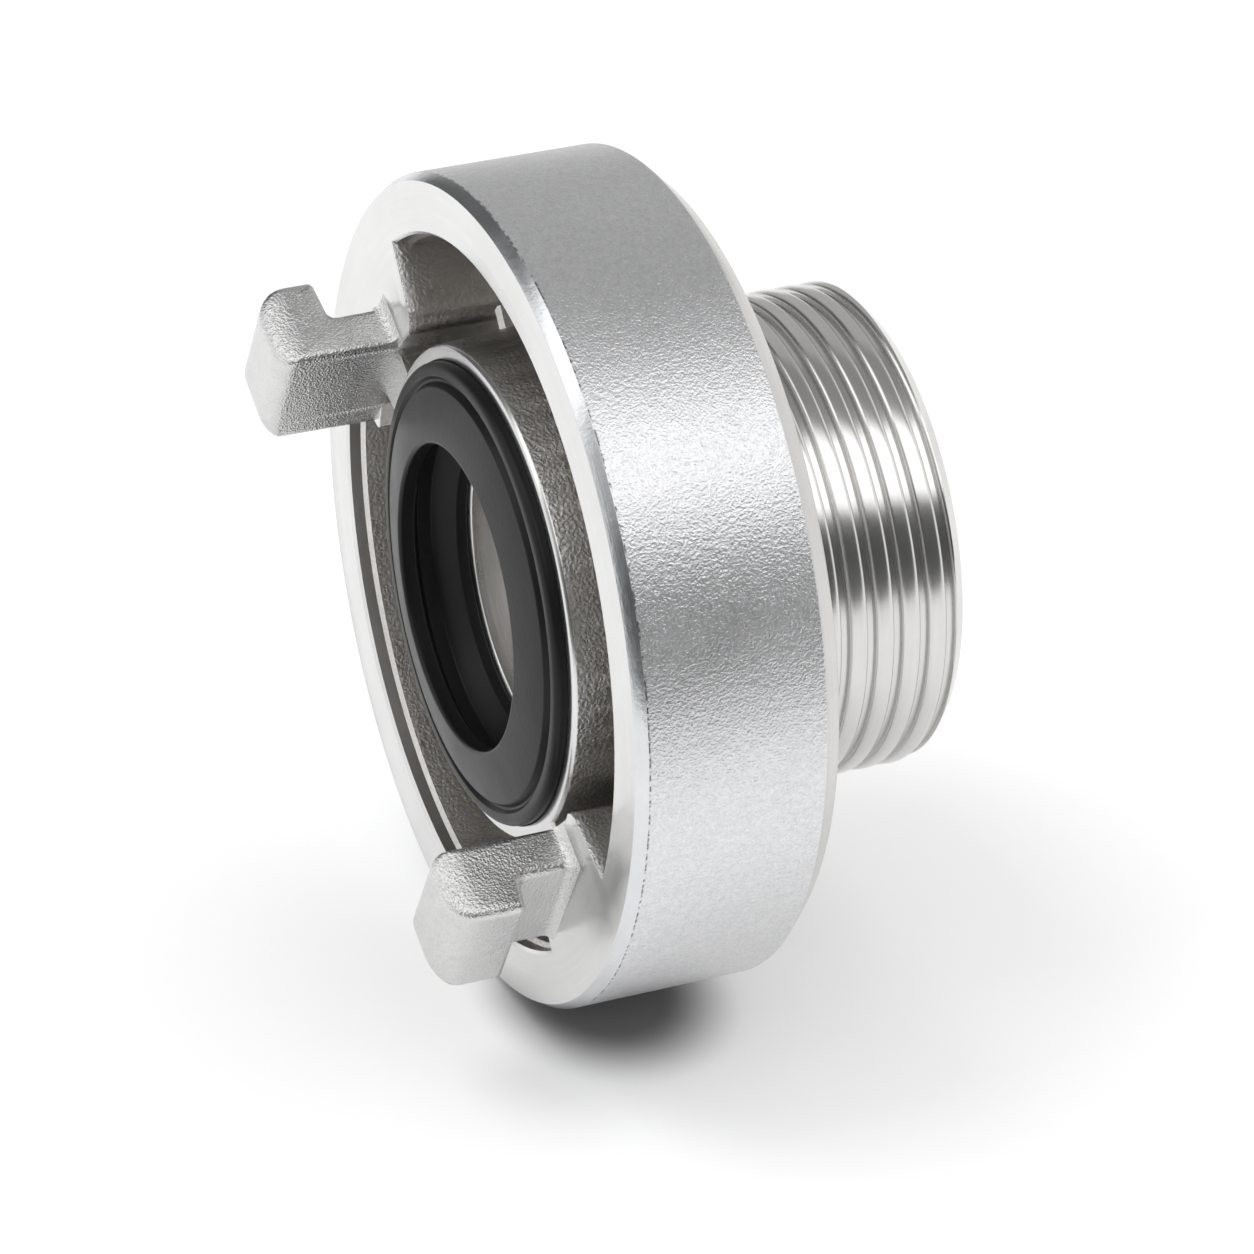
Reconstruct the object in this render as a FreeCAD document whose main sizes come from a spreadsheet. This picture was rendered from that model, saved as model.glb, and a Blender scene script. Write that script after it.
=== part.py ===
import FreeCAD, Part
import math
import os
import Sketcher

# Fixed coupling half with two claws, a rubber face seal and a male pipe thread.
# +Z is the common axis and points to the coupling face; Z = 0 is the end face of the thread.
# The lips that carry the claws lie on +X and -X, the two slots between them on +Y and -Y.

NODE_FOLDER = "parts"
NEAR = 0.02
UPRIGHT = 0.97

SIZES = {
    # overall
    "face_level": 51.1,
    "ring_width": 26.1,
    "ring_radius": 50.75,
    "front_bevel_radial": 0.85,
    "front_bevel_axial": 1.4,
    "rear_bevel": 2.65,
    # slots: turned recess behind the face and drafted cast wall below it
    "rim_width": 7.25,
    "recess_depth": 1.8,
    "recess_edge_bevel": 0.35,
    "recess_ledge": 0.5,
    "cavity_draft": 1.2,
    "cavity_depth": 19.0,
    "slot_clearance": 1.5,
    # hub with the seat of the seal, and the channel round it
    "seat_radius": 28.3,
    "seat_depth": 6.4,
    "hub_wall": 1.8,
    "hub_draft": 1.1,
    "hub_drop": 0.6,
    "hub_bevel_radial": 0.45,
    "hub_bevel_axial": 0.85,
    "channel_width": 1.5,
    # through bore
    "seat_width": 9.3,
    "bore_bevel": 0.8,
    "throat_length": 9.6,
    "throat_taper": 6.0,
    # threaded spigot
    "thread_radius": 29.8,
    "thread_bevel": 1.5,
    "relief_depth": 1.6,
    "relief_width": 3.4,
    "spigot_wall": 6.8,
    "spigot_bore_bevel": 1.0,
    # lips, measured in degrees from the X axis to either slot
    "lip_near_angle": 15.0,
    "lip_far_angle": 17.5,
    "lip_heel_angle": 25.5,
    "lip_corner_radius": 2.5,
    # bridges from the hub to the lips
    "foot_depth": 11.0,
    "head_near_angle": 1.5,
    "head_far_angle": 16.5,
    "bridge_overlap": 1.2,
    # claws: their flat faces are square to one line, turned from the X axis by claw_turn degrees
    "claw_turn": 8.0,
    "claw_shift": 1.4,
    "other_claw_shift": 9.4,
    "claw_half_width": 8.5,
    "claw_setback": 0.5,
    "claw_thickness": 5.2,
    "claw_hook_reach": 3.7,
    "claw_height": 16.6,
    "claw_hook_height": 7.0,
    "claw_hook_rise": 0.5,
    "claw_nose_radius": 4.0,
    "claw_chin_radius": 2.2,
    "claw_heel_bevel": 0.9,
    "claw_throat_radius": 1.0,
    "claw_root_bevel": 1.5,
    "claw_side_radius": 1.1,
    "claw_sink": 1.0,
    "nose_near_bevel": 2.4,
    "nose_far_bevel": 4.4,
    "nose_bevel_height": 3.8,
    # rubber seal
    "seal_fit": 0.1,
    "seal_bore_step": 0.35,
    "seal_shoulder_width": 1.6,
    "seal_shoulder_height": 0.9,
    "seal_shoulder_bevel": 0.9,
    "seal_groove_width": 1.3,
    "seal_groove_depth": 0.9,
    "seal_face_height": 1.2,
    "seal_lip_height": 2.6,
    "seal_lip_bevel": 0.5,
    "seal_chamber_width": 2.25,
    "seal_chamber_top": 0.5,
    "seal_chamber_roof": 1.2,
    "seal_chamber_floor": 2.5,
    "seal_chamber_base": 5.0,
}

# levels and radii that follow from the sizes
REAR = "face_level - ring_width"
SEAT = "face_level - seat_depth"
THROAT = SEAT + " - throat_length"
FLOOR = "face_level - cavity_depth"
RECESS = "ring_radius - rim_width"
HUB = "seat_radius + hub_wall"
HUB_FLOOR = HUB + " + hub_draft"
LIP = HUB_FLOOR + " + channel_width"
BORE = "seat_radius - seat_width"
SPIGOT_BORE = "thread_radius - spigot_wall"
RELIEF = "thread_radius - relief_depth"
CLAW_INNER = LIP + " - claw_setback"
CLAW_OUTER = CLAW_INNER + " + claw_thickness"
CLAW_TIP = CLAW_OUTER + " + claw_hook_reach"
CLAW_TOP = "face_level + claw_height"
SHIFTS = {"1": "claw_shift", "-1": "other_claw_shift"}


def make_sheet(document):
    """Writes the driving dimensions, one named cell each."""
    sheet = document.addObject("Spreadsheet::Sheet", "Sizes")
    for row, (name, value) in enumerate(SIZES.items(), start=1):
        sheet.set("A" + str(row), name)
        sheet.set("B" + str(row), str(value))
        sheet.setAlias("B" + str(row), name)
    document.recompute()
    return sheet


def sized(text):
    """Turns words such as 'ring_radius - rear_bevel' into an expression that reads the sheet."""
    words = text.replace("(", "( ").replace(")", " )").split()
    return " ".join("Sizes." + word if word in SIZES else word for word in words)


def value_of(owner, text):
    """Value of such words as a number."""
    return float(owner.evalExpression(sized(text)))


def origin_plane(body, role):
    """One of the body's own origin planes."""
    return [plane for plane in body.Origin.OriginFeatures if plane.Role == role][0]


def new_sketch(body, name, role, lift=None, turn=None, shift=None):
    """Adds a sketch on an origin plane, lifted along its normal or turned about the upright axis.

    shift moves a turned sketch backwards along its own normal.
    """
    sketch = body.newObject("Sketcher::SketchObject", name)
    sketch.AttachmentSupport = [(origin_plane(body, role), "")]
    sketch.MapMode = "FlatFace"
    if turn is not None:
        upright = FreeCAD.Vector(0, 0, 1) if role == "XY_Plane" else FreeCAD.Vector(0, 1, 0)
        sketch.AttachmentOffset = FreeCAD.Placement(FreeCAD.Vector(), FreeCAD.Rotation(upright, 1))
        sketch.setExpression("AttachmentOffset.Rotation.Angle", sized(turn))
    if shift is not None:
        sketch.setExpression("AttachmentOffset.Base.x", sized("- " + shift + " * sin(" + turn + ")"))
        sketch.setExpression("AttachmentOffset.Base.z", sized("- " + shift + " * cos(" + turn + ")"))
    if lift is not None:
        sketch.setExpression("AttachmentOffset.Base.z", sized(lift))
    body.Document.recompute()
    return sketch


def bind(sketch, constraint, text):
    """Adds a constraint whose value follows the sheet."""
    index = sketch.addConstraint(constraint)
    sketch.setExpression("Constraints[" + str(index) + "]", sized(text))


def pin_point(sketch, geometry, end, place):
    """Ties a point to two expressions, its distances from the sketch's origin."""
    for kind, text in zip(("DistanceX", "DistanceY"), place):
        bind(sketch, Sketcher.Constraint(kind, -1, 1, geometry, end, value_of(sketch, text)), text)


def draw_outline(sketch, corners, arcs=None):
    """Draws a closed outline through corners of two expressions each.

    arcs maps the index of the side that leaves a corner to (radius, turn). Such a side is an arc,
    anticlockwise when turn is positive and clockwise when it is negative.
    """
    arcs = arcs or {}
    places = [FreeCAD.Vector(value_of(sketch, x), value_of(sketch, y), 0) for x, y in corners]
    sides = []
    for side, start in enumerate(places):
        finish = places[(side + 1) % len(places)]
        if side in arcs:
            radius, turn = arcs[side]
            sides.append(add_arc(sketch, start, finish, value_of(sketch, radius), turn))
        else:
            sides.append((sketch.addGeometry(Part.LineSegment(start, finish), False), 1, 2))
    for side, (geometry, _, last) in enumerate(sides):
        after, first, _ = sides[(side + 1) % len(sides)]
        sketch.addConstraint(Sketcher.Constraint("Coincident", geometry, last, after, first))
    for (geometry, first, _), place in zip(sides, corners):
        pin_point(sketch, geometry, first, place)
    for side, (radius, _) in arcs.items():
        value = value_of(sketch, radius)
        bind(sketch, Sketcher.Constraint("Radius", sides[side][0], value), radius)


def add_arc(sketch, start, finish, radius, turn):
    """Adds the shorter arc from start to finish; returns its index and its first and last end."""
    chord = finish - start
    middle = start + chord * 0.5
    rise = (radius ** 2 - chord.Length ** 2 / 4) ** 0.5
    across = FreeCAD.Vector(-chord.y, chord.x, 0).normalize()
    centre = middle + across * (rise * turn)
    circle = Part.Circle(centre, FreeCAD.Vector(0, 0, 1), radius)
    ends = (start, finish) if turn > 0 else (finish, start)
    piece = Part.ArcOfCircle(circle, circle.parameter(ends[0]), circle.parameter(ends[1]))
    index = sketch.addGeometry(piece, False)
    return (index, 1, 2) if turn > 0 else (index, 2, 1)


def turn_feature(body, kind, name, sketch, near=None, far=None):
    """Revolves a sketch about Z, all round or from near degrees on one side to far on the other."""
    feature = body.newObject(kind, name)
    feature.Profile = sketch
    feature.ReferenceAxis = (sketch, ["V_Axis"])
    if near is None:
        feature.Angle = 360
    elif far is None:
        feature.Midplane = True
        feature.setExpression("Angle", sized(near))
    else:
        feature.Type = "TwoAngles"
        feature.setExpression("Angle", sized(near))
        feature.setExpression("Angle2", sized(far))
    sketch.Visibility = False
    body.Document.recompute()
    return feature


def pick_edges(feature, test):
    """Names the edges of a feature that pass a test on their middle point and length."""
    names = []
    for number, edge in enumerate(feature.Shape.Edges, start=1):
        middle = edge.valueAt((edge.FirstParameter + edge.LastParameter) / 2)
        if test(edge, middle):
            names.append("Edge" + str(number))
    if not names:
        raise RuntimeError("no edges found after " + feature.Name)
    return names


def round_edges(body, name, base, radius, test):
    """Adds a fillet on the edges of base that pass a test."""
    fillet = body.newObject("PartDesign::Fillet", name)
    fillet.Base = (base, pick_edges(base, test))
    fillet.setExpression("Radius", sized(radius))
    body.Document.recompute()
    return fillet


def turned_section(body):
    """Section of everything that is the same all round: ring, channel, hub, bores and spigot."""
    sketch = new_sketch(body, "TurnedSection", "XZ_Plane")
    draw_outline(sketch, [
        (BORE + " + bore_bevel", SEAT),
        ("seat_radius", SEAT),
        ("seat_radius", "face_level - hub_drop"),
        (HUB + " - hub_bevel_radial", "face_level - hub_drop"),
        (HUB, "face_level - hub_drop - hub_bevel_axial"),
        (HUB_FLOOR, FLOOR),
        (LIP, FLOOR),
        (LIP, "face_level"),
        ("ring_radius - front_bevel_radial", "face_level"),
        ("ring_radius", "face_level - front_bevel_axial"),
        ("ring_radius", REAR + " + rear_bevel"),
        ("ring_radius - rear_bevel", REAR),
        (RELIEF, REAR),
        (RELIEF, REAR + " - relief_width + relief_depth"),
        ("thread_radius", REAR + " - relief_width"),
        ("thread_radius", "thread_bevel"),
        ("thread_radius - thread_bevel", "0"),
        (SPIGOT_BORE + " + spigot_bore_bevel", "0"),
        (SPIGOT_BORE, "spigot_bore_bevel"),
        (SPIGOT_BORE, THROAT + " - throat_taper"),
        (BORE, THROAT),
        (BORE, SEAT + " - bore_bevel"),
    ])
    return sketch


def slot_section(body, name, side, turn=None):
    """Section of a slot between the lips, with the turned recess and the drafted cast wall."""
    sketch = new_sketch(body, name, "YZ_Plane", turn=turn)
    inner = side + " * (" + LIP + " - slot_clearance)"
    draw_outline(sketch, [
        (inner, FLOOR),
        (side + " * (" + RECESS + " - cavity_draft)", FLOOR),
        (side + " * (" + RECESS + " - recess_ledge)", "face_level - recess_depth - recess_ledge"),
        (side + " * (" + RECESS + ")", "face_level - recess_depth"),
        (side + " * (" + RECESS + ")", "face_level - recess_edge_bevel"),
        (side + " * (" + RECESS + " + recess_edge_bevel + slot_clearance)", "face_level + slot_clearance"),
        (inner, "face_level + slot_clearance"),
    ])
    return sketch


def bridge_section(body, name, top):
    """Section of a bridge that closes the channel between the hub and a lip."""
    sketch = new_sketch(body, name, "XZ_Plane")
    low = FLOOR + " - bridge_overlap"
    draw_outline(sketch, [
        (HUB + " - bridge_overlap", low),
        (LIP + " + bridge_overlap", low),
        (LIP + " + bridge_overlap", top),
        (HUB + " - bridge_overlap", top),
    ])
    return sketch


def claw_section(body, name, side):
    """Profile of a claw in its middle plane: stem, hook pointing outwards and rounded nose."""
    sketch = new_sketch(body, name, "XZ_Plane", turn="claw_turn", shift=SHIFTS[side])
    hook = "face_level + claw_hook_height"

    def out(distance):
        """Distance from the axis on this side."""
        return side + " * (" + distance + ")"

    draw_outline(sketch, [
        (out(CLAW_INNER), "face_level - claw_sink"),
        (out(CLAW_OUTER), "face_level - claw_sink"),
        (out(CLAW_OUTER), hook + " - claw_throat_radius"),
        (out(CLAW_OUTER + " + claw_throat_radius"), hook),
        (out(CLAW_TIP + " - claw_heel_bevel"), hook + " + claw_hook_rise"),
        (out(CLAW_TIP), hook + " + claw_hook_rise + claw_heel_bevel"),
        (out(CLAW_TIP), CLAW_TOP + " - claw_nose_radius"),
        (out(CLAW_TIP + " - claw_nose_radius"), CLAW_TOP),
        (out(CLAW_INNER + " + claw_chin_radius"), CLAW_TOP),
        (out(CLAW_INNER), CLAW_TOP + " - claw_chin_radius"),
    ], {
        2: ("claw_throat_radius", -int(side)),
        6: ("claw_nose_radius", int(side)),
        8: ("claw_chin_radius", int(side)),
    })
    return sketch


def nose_section(body, name, side):
    """The corners that are bevelled off a claw's nose, seen along the claw's flat sides."""
    sketch = new_sketch(body, name, "YZ_Plane", turn="claw_turn")
    corners = (("- 1", "nose_near_bevel"), ("1", "nose_far_bevel"))
    for way, width in corners:
        edge = SHIFTS[side] + " + " + way + " * claw_half_width"
        draw_outline(sketch, [
            (edge, CLAW_TOP + " - nose_bevel_height"),
            (edge + " + " + way + " * slot_clearance", CLAW_TOP + " - nose_bevel_height"),
            (edge + " + " + way + " * slot_clearance", CLAW_TOP + " + slot_clearance"),
            (edge + " - " + way + " * " + width, CLAW_TOP + " + slot_clearance"),
            (edge + " - " + way + " * " + width, CLAW_TOP),
        ])
    return sketch


def build_body(document):
    """The coupling: one forging, turned on both ends."""
    body = document.addObject("PartDesign::Body", "CouplingBody")
    body.Label = "body"
    turn_feature(body, "PartDesign::Revolution", "Turned", turned_section(body))
    add_slots(body)
    base = add_bridges(body)
    for side, name in (("1", "Claw"), ("-1", "OtherClaw")):
        base = add_claw(body, name, side)
    base = round_slots(body, round_claws(body, base))
    for side, name in (("1", "Claw"), ("-1", "OtherClaw")):
        cut_nose(body, name, side)
        add_claw_root(body, name, side)
    return body


def add_slots(body):
    """Cuts the two slots that take the claws of the other half.

    The lip on +X reaches farther under its claw, so the far slot is turned away from it.
    """
    near = slot_section(body, "NearSlotSection", "-1")
    turn_feature(body, "PartDesign::Groove", "NearSlot", near, "180 - 2 * lip_near_angle")
    far = slot_section(body, "FarSlotSection", "1", turn="(lip_heel_angle - lip_far_angle) / 2")
    turn_feature(body, "PartDesign::Groove", "FarSlot", far, "180 - lip_far_angle - lip_heel_angle")


def add_bridges(body):
    """Foot across the whole lip and narrower head with a turned top, on both sides."""
    foot = bridge_section(body, "FootSection", "face_level - foot_depth")
    first = turn_feature(body, "PartDesign::Revolution", "Foot", foot, "lip_far_angle", "lip_near_angle")
    head = bridge_section(body, "HeadSection", "face_level - hub_drop")
    second = turn_feature(body, "PartDesign::Revolution", "Head", head, "head_far_angle", "- head_near_angle")
    mirrored = body.newObject("PartDesign::Mirrored", "OtherBridge")
    mirrored.Originals = [first, second]
    mirrored.MirrorPlane = (origin_plane(body, "YZ_Plane"), [""])
    body.Tip = mirrored
    body.Document.recompute()
    return mirrored


def add_claw(body, name, side):
    """One claw, as wide to either side of its profile."""
    claw = body.newObject("PartDesign::Pad", name)
    claw.Profile = claw_section(body, name + "Section", side)
    claw.Midplane = True
    claw.setExpression("Length", sized("2 * claw_half_width"))
    body.Document.recompute()
    return claw


def round_claws(body, base):
    """Rounds the edges along both sides of the claws."""
    half_width = value_of(base, "claw_half_width")
    face = value_of(base, "face_level")
    turn = math.radians(value_of(base, "claw_turn"))
    shifts = {side: value_of(base, shift) for side, shift in SHIFTS.items()}

    def side_offset(point):
        """Distance of a point from the middle plane of the claw on its side."""
        shift = shifts["1" if point.x > 0 else "-1"]
        return abs(point.y * math.cos(turn) - point.x * math.sin(turn) - shift)

    def along_side(edge, middle):
        """True for the edges of a claw's flat side that lie above the face."""
        points = edge.discretize(5)
        return middle.z > face + NEAR and all(abs(side_offset(point) - half_width) < NEAR for point in points)

    return round_edges(body, "ClawEdges", base, "claw_side_radius", along_side)


def cut_nose(body, name, side):
    """Bevels both corners of a claw's nose."""
    cut = body.newObject("PartDesign::Pocket", name + "Nose")
    cut.Profile = nose_section(body, name + "NoseSection", side)
    cut.Reversed = side == "1"
    cut.setExpression("Length", sized("ring_radius"))
    body.Document.recompute()
    return cut


def add_claw_root(body, name, side):
    """Bevelled root round the near side and the outer face of a claw."""
    near = SHIFTS[side] + " - claw_half_width"
    far = SHIFTS[side] + " + claw_half_width - claw_side_radius"
    outlines = []
    for step, level, spread in (("Foot", "0", "claw_root_bevel"), ("Top", "claw_root_bevel", "0")):
        sketch = new_sketch(body, name + "Root" + step, "XY_Plane", lift="face_level + " + level, turn="claw_turn")
        outer = side + " * (" + CLAW_OUTER + " + " + spread + ")"
        inner = side + " * (" + CLAW_INNER + ")"
        draw_outline(sketch, [
            (inner, near + " - " + spread),
            (outer, near + " - " + spread),
            (outer, far),
            (inner, far),
        ])
        outlines.append(sketch)
    root = body.newObject("PartDesign::AdditiveLoft", name + "Root")
    root.Profile = outlines[0]
    root.Sections = outlines[1:]
    root.Ruled = True
    body.Document.recompute()
    return root


def round_slots(body, base):
    """Rounds the upright cast edges where the end walls of the near slot meet the lips."""
    lip_radius = value_of(base, LIP)
    face = value_of(base, "face_level")

    def lip_corner(edge, middle):
        """True for the upright edges at the inner corners of the lips."""
        radius = math.hypot(middle.x, middle.y)
        upright = abs(edge.tangentAt(edge.FirstParameter).z) > UPRIGHT
        return upright and abs(radius - lip_radius) < NEAR and middle.y < 0 and middle.z < face

    return round_edges(body, "LipCorners", base, "lip_corner_radius", lip_corner)


def build_seal(document):
    """The moulded rubber ring with its raised sealing lip and the chamber behind the lip."""
    body = document.addObject("PartDesign::Body", "SealBody")
    body.Label = "seal"
    sketch = new_sketch(body, "SealSection", "XZ_Plane")
    outer = "seat_radius - seal_fit"
    groove = outer + " - seal_shoulder_width"
    bore = BORE + " - seal_bore_step"
    shoulder = "face_level + seal_shoulder_height"
    bevel = "seal_lip_bevel"
    draw_outline(sketch, [
        (bore, SEAT),
        (outer, SEAT),
        (outer, shoulder + " - seal_shoulder_bevel"),
        (outer + " - seal_shoulder_bevel", shoulder),
        (groove, shoulder),
        (groove + " - seal_groove_width / 2", shoulder + " - seal_groove_depth"),
        (groove + " - seal_groove_width", "face_level + seal_face_height"),
        (bore + " + " + bevel, "face_level + seal_lip_height"),
        (bore, "face_level + seal_lip_height - " + bevel),
        (bore, "face_level + seal_chamber_top"),
        (bore + " + seal_chamber_width", "face_level + seal_chamber_top - seal_chamber_roof"),
        (bore + " + seal_chamber_width", "face_level - seal_chamber_floor"),
        (bore, "face_level - seal_chamber_base"),
    ])
    turn_feature(body, "PartDesign::Revolution", "Moulded", sketch)
    return body


def check_document(document):
    """Stops when any object of the document failed or has a broken shape."""
    for item in document.Objects:
        if any(word in item.State for word in ("Invalid", "Error")):
            raise RuntimeError(item.Name + " failed: " + str(item.State))
        shape = getattr(item, "Shape", None)
        if shape is None or item.isDerivedFrom("App::OriginFeature"):
            continue
        if shape.isNull() or not shape.isValid():
            raise RuntimeError(item.Name + " has no sound shape")


def main():
    """Builds both pieces and writes one STEP file for each."""
    os.makedirs(NODE_FOLDER, exist_ok=True)
    document = FreeCAD.newDocument("StorzAdapter")
    make_sheet(document)
    nodes = [build_body(document), build_seal(document)]
    document.recompute()
    check_document(document)
    for node in nodes:
        box = node.Shape.BoundBox
        print(node.Label, len(node.Shape.Solids), round(node.Shape.Volume, 1), len(node.Shape.Faces), box)
        node.Shape.exportStep(os.path.join(NODE_FOLDER, node.Label + ".step"))


main()
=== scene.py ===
"""Looks of a fixed hose coupling half with claws, a rubber face seal and a male pipe thread."""

import logging
import math
from dataclasses import dataclass
from enum import Enum
from typing import Callable, Iterable, Optional, Sequence

import bmesh
import bpy
from mathutils import Matrix, Vector


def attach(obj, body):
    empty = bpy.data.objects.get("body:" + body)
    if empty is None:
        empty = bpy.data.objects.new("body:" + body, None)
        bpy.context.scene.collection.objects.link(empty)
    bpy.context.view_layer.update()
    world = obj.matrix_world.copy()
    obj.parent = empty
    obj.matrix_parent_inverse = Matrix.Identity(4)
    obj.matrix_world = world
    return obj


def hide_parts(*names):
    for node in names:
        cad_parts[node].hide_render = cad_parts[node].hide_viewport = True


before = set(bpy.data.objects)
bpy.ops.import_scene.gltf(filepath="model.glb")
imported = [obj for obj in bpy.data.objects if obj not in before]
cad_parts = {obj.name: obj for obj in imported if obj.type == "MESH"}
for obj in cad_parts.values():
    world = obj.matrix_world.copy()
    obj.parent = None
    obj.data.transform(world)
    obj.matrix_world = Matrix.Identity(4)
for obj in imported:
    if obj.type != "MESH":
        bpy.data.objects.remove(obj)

logging.basicConfig(level=logging.INFO, format="%(message)s")
LOG = logging.getLogger("coupling")

MM = 0.001
TURN = 2.0 * math.pi
Point2 = tuple[float, float]
Shade = tuple[float, float, float]
Corner = tuple[float, float, float]

# scales of the noise patterns, in cycles per metre, from broad to fine
CLOUDS, SMEARS, BLOTCHES, STAINS = 60.0, 110.0, 140.0, 260.0
BEND, CREASES, SCRATCHES, PEEL = 600.0, 620.0, 900.0, 1100.0
BROAD_MARKS, SPECKLES, GRAIN, FINE_MARKS = 1300.0, 1500.0, 3200.0, 5200.0
SPECKLE_SHADE = (0.10, 0.10, 0.10)
CREASE_SHADE = (0.12, 0.12, 0.12)
# corners closer than this become one, in metres, and edges over these angles stay sharp, in degrees
WELD = 1e-7
SHELL_CREASE, RING_CREASE = 32.0, 40.0


class Finish(Enum):
    """The surfaces that the casting shows, in the order of its material slots."""

    BLASTED = 0
    FACED = 1
    BEVEL = 2
    CAST = 3
    FORGED = 4
    THREAD = 5
    BORE = 6


# radius, height and corner radius in millimetres, and the finish of the side that starts there
Side = tuple[float, float, float, Finish]


class Boolean(Enum):
    """How one closed mesh is combined with another."""

    CUT = "DIFFERENCE"
    JOIN = "UNION"


class Wire:
    """A node socket that can be used in arithmetic."""

    def __init__(self, graph: "Graph", socket: bpy.types.NodeSocket) -> None:
        """Keeps the socket and the graph that new Math nodes go into."""
        self.graph = graph
        self.socket = socket

    def maths(self, operation: str, *others: object) -> "Wire":
        """Adds one Math node with this socket first.

        Args:
            operation: Name of the Math operation.
            others: Further wires or numbers.

        Returns:
            The result's wire.
        """
        return self.graph.maths(operation, self, *others)

    def __add__(self, other: object) -> "Wire":
        """Sum."""
        return self.maths("ADD", other)

    __radd__ = __add__

    def __sub__(self, other: object) -> "Wire":
        """Difference."""
        return self.maths("SUBTRACT", other)

    def __rsub__(self, other: float) -> "Wire":
        """Difference from a number."""
        return self.graph.maths("SUBTRACT", other, self)

    def __mul__(self, other: object) -> "Wire":
        """Product."""
        return self.maths("MULTIPLY", other)

    __rmul__ = __mul__

    def __truediv__(self, other: object) -> "Wire":
        """Quotient."""
        return self.maths("DIVIDE", other)

    def clamped(self) -> "Wire":
        """This value held between 0 and 1."""
        return self.maths("MAXIMUM", 0.0).maths("MINIMUM", 1.0)


class Graph:
    """A node tree of any kind, filled through a few calls."""

    def __init__(self, tree: bpy.types.NodeTree) -> None:
        """Keeps the tree."""
        self.tree = tree

    def add(self, kind: str, values: Optional[dict] = None, output: object = 0, **settings: str) -> Wire:
        """Adds a node.

        Args:
            kind: Node type.
            values: Socket name or number mapped to a value or a wire.
            output: Name or number of the output to return.
            settings: Properties that are set before the sockets are read.

        Returns:
            The wire of that output.
        """
        node = self.tree.nodes.new(kind)
        for name, value in settings.items():
            setattr(node, name, value)
        for name, value in (values or {}).items():
            if isinstance(value, Wire):
                self.tree.links.new(value.socket, node.inputs[name])
            else:
                node.inputs[name].default_value = value
        return Wire(self, node.outputs[output] if len(node.outputs) else None)

    def maths(self, operation: str, *terms: object) -> Wire:
        """Adds a Math node on wires and numbers."""
        return self.add("ShaderNodeMath", dict(enumerate(terms)), operation=operation)

    def mix(self, factor: object, first: object, second: object) -> Wire:
        """Mixes two colours."""
        return self.add("ShaderNodeMix", {0: factor, 6: first, 7: second}, 2, data_type="RGBA")

    def noise(self, place: Wire, scale: float, detail: float = 3.0, rough: float = 0.5) -> Wire:
        """Fractal noise from 0 to 1."""
        return self.add("ShaderNodeTexNoise", {
            "Vector": place, "Scale": scale, "Detail": detail, "Roughness": rough})

    def cells(self, place: Wire, scale: float, smooth: float = 0.6) -> Wire:
        """Soft cellular dimples."""
        return self.add("ShaderNodeTexVoronoi", {
            "Vector": place, "Scale": scale, "Smoothness": smooth}, "Distance", feature="SMOOTH_F1")

    def scaled(self, place: Wire, factors: Corner) -> Wire:
        """Stretches a vector along its axes."""
        return self.add("ShaderNodeVectorMath", {0: place, 1: factors}, operation="MULTIPLY")

    def split(self, place: Wire) -> tuple[Wire, Wire, Wire]:
        """The three parts of a vector."""
        outputs = self.add("ShaderNodeSeparateXYZ", {0: place}).socket.node.outputs
        return Wire(self, outputs[0]), Wire(self, outputs[1]), Wire(self, outputs[2])


def rgb(shade: Sequence[float]) -> tuple[float, ...]:
    """A colour with full alpha."""
    return (*shade, 1.0)


def scaled_shade(shade: Shade, factor: float) -> tuple[float, ...]:
    """A colour made lighter or darker, held at 1, with full alpha."""
    return rgb([min(part * factor, 1.0) for part in shade])


def emptied(owner: bpy.types.ID) -> Graph:
    """Turns on the nodes of a material or world and clears them.

    Args:
        owner: The material or world.

    Returns:
        Its empty graph.
    """
    owner.use_nodes = True
    owner.node_tree.nodes.clear()
    return Graph(owner.node_tree)


def new_material(name: str) -> tuple[bpy.types.Material, Graph]:
    """Makes an empty material and its graph."""
    material = bpy.data.materials.new(name)
    return material, emptied(material)


@dataclass(frozen=True)
class Surface:
    """A finish: one Principled shader with its pattern.

    Attributes:
        name: Material name.
        colour: Base colour, linear.
        metallic: 1 for metal, 0 for rubber.
        roughness: Mean roughness.
        spread: How far the roughness wanders.
        depth: Bump distance in millimetres.
        specular: Strength of the clear reflection where the surface isn't metal.
    """

    name: str
    colour: Shade
    metallic: float
    roughness: float
    spread: float
    depth: float
    specular: float = 0.5

    def pattern(self, graph: Graph, place: Wire) -> tuple[Wire, Wire]:
        """Fine relief under soft patches of tone.

        Args:
            graph: The material's graph.
            place: Place on the surface.

        Returns:
            Height of the relief, from 0 to 1, and the colour.
        """
        patches = graph.noise(place, CLOUDS, 4.0)
        colour = graph.mix(patches, scaled_shade(self.colour, 0.94), rgb(self.colour))
        return graph.noise(place, SPECKLES), colour

    def build(self) -> bpy.types.Material:
        """Makes the material.

        Returns:
            The finished material.
        """
        material, graph = new_material(self.name)
        place = graph.add("ShaderNodeTexCoord", None, "Object")
        height, colour = self.pattern(graph, place)
        patches = graph.noise(place, BLOTCHES, 4.0)
        rough = (patches - 0.5) * self.spread + self.roughness
        normal = graph.add("ShaderNodeBump", {
            "Strength": 1.0, "Distance": self.depth * MM, "Height": height})
        shader = graph.add("ShaderNodeBsdfPrincipled", {
            "Base Color": colour, "Metallic": self.metallic,
            "Roughness": rough.clamped(), "Specular IOR Level": self.specular, "Normal": normal})
        graph.add("ShaderNodeOutputMaterial", {"Surface": shader})
        return material


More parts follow.
